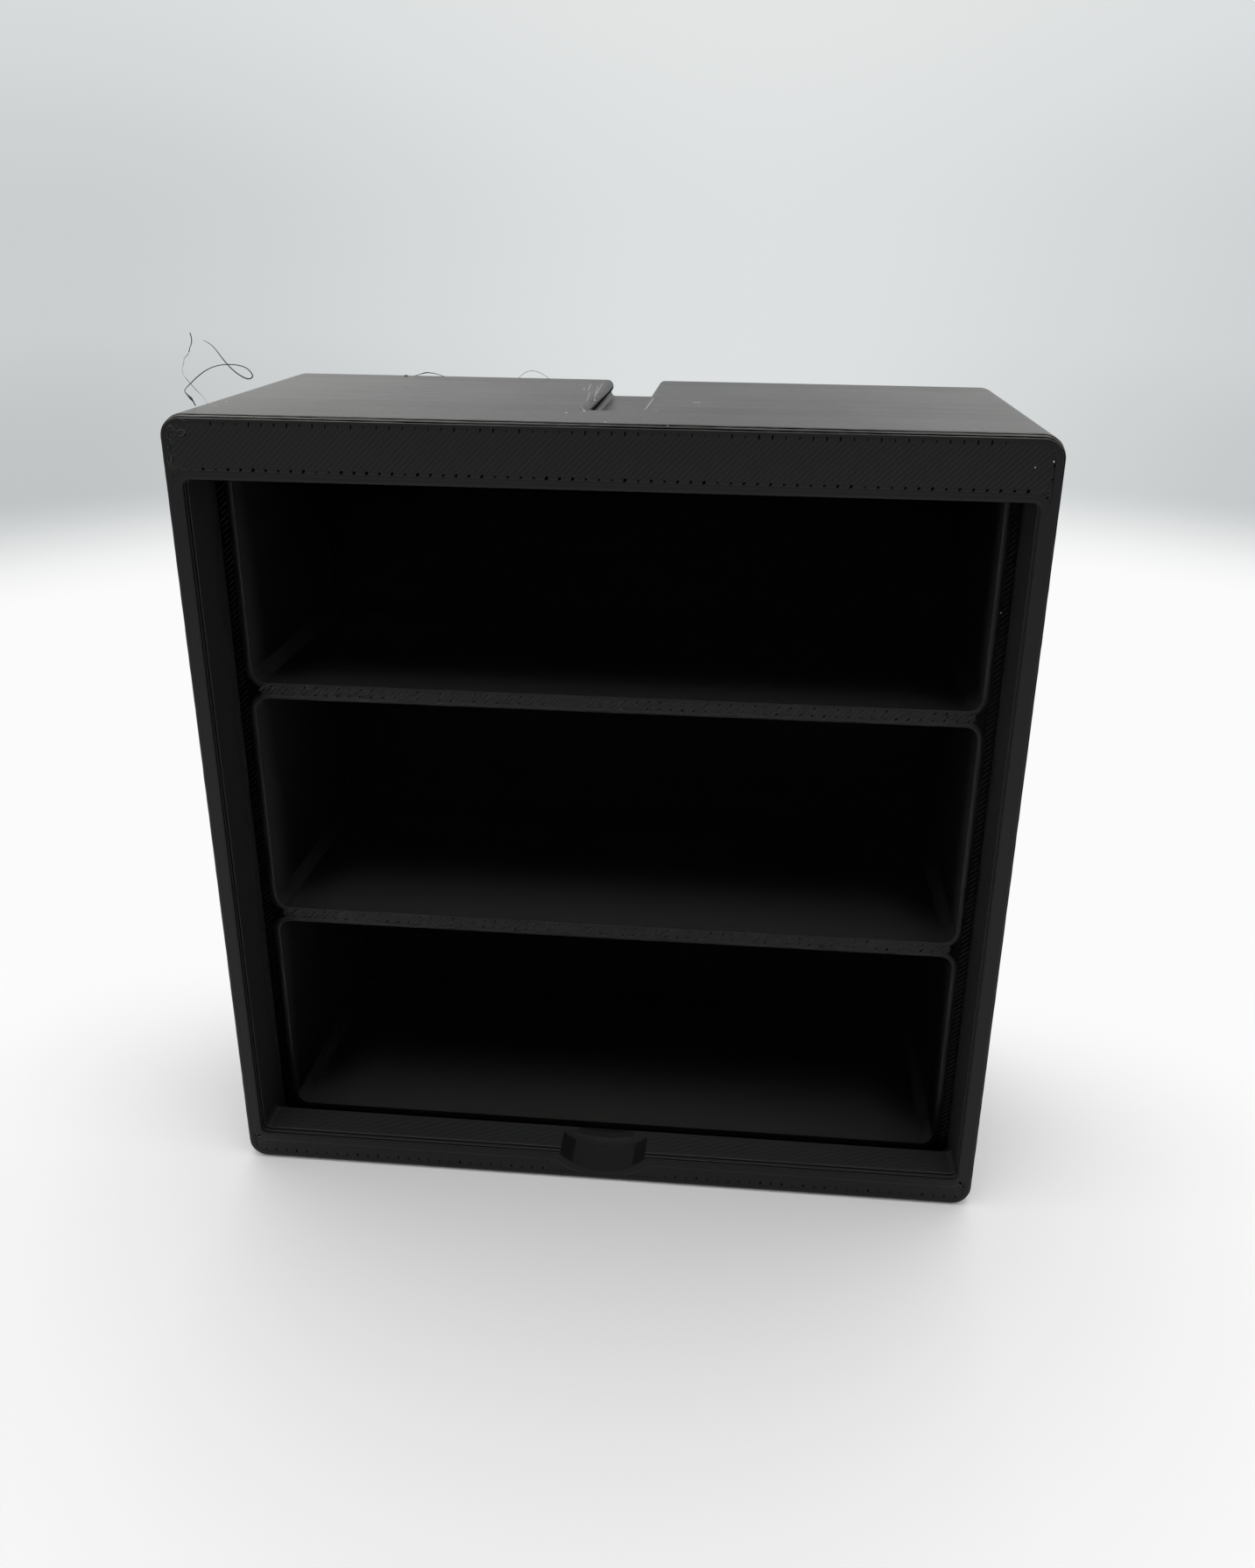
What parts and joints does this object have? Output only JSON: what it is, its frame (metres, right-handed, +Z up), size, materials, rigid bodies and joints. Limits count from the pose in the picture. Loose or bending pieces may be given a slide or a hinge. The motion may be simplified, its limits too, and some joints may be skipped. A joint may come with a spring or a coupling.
{
  "type": "model car display case",
  "caption": "Printed black case with stacked open bays for small model cars, a finger scoop, a connector slot in the roof and a clear lift-out front pane.",
  "frame": {"origin": "middle of the underside, on the surface that the case stands on", "axes": "+Z up, the open front faces -Y, +X to the right as seen from the front"},
  "size_m": [0.0908, 0.0382, 0.0934],
  "materials": {
    "printed_black": "black printed plastic with fine layer lines and a soft sheen",
    "clear_sheet": "clear, low-glare acrylic sheet"
  },
  "bodies": {
    "case": {"case_body": "printed_black"},
    "pane": {"front_pane": "clear_sheet"}
  },
  "joints": [
    {"name": "pane_lift", "type": "slide", "parent": "case", "child": "pane", "axis": [0, 0, 1], "range_m": [0, 0.0023]}
  ]
}
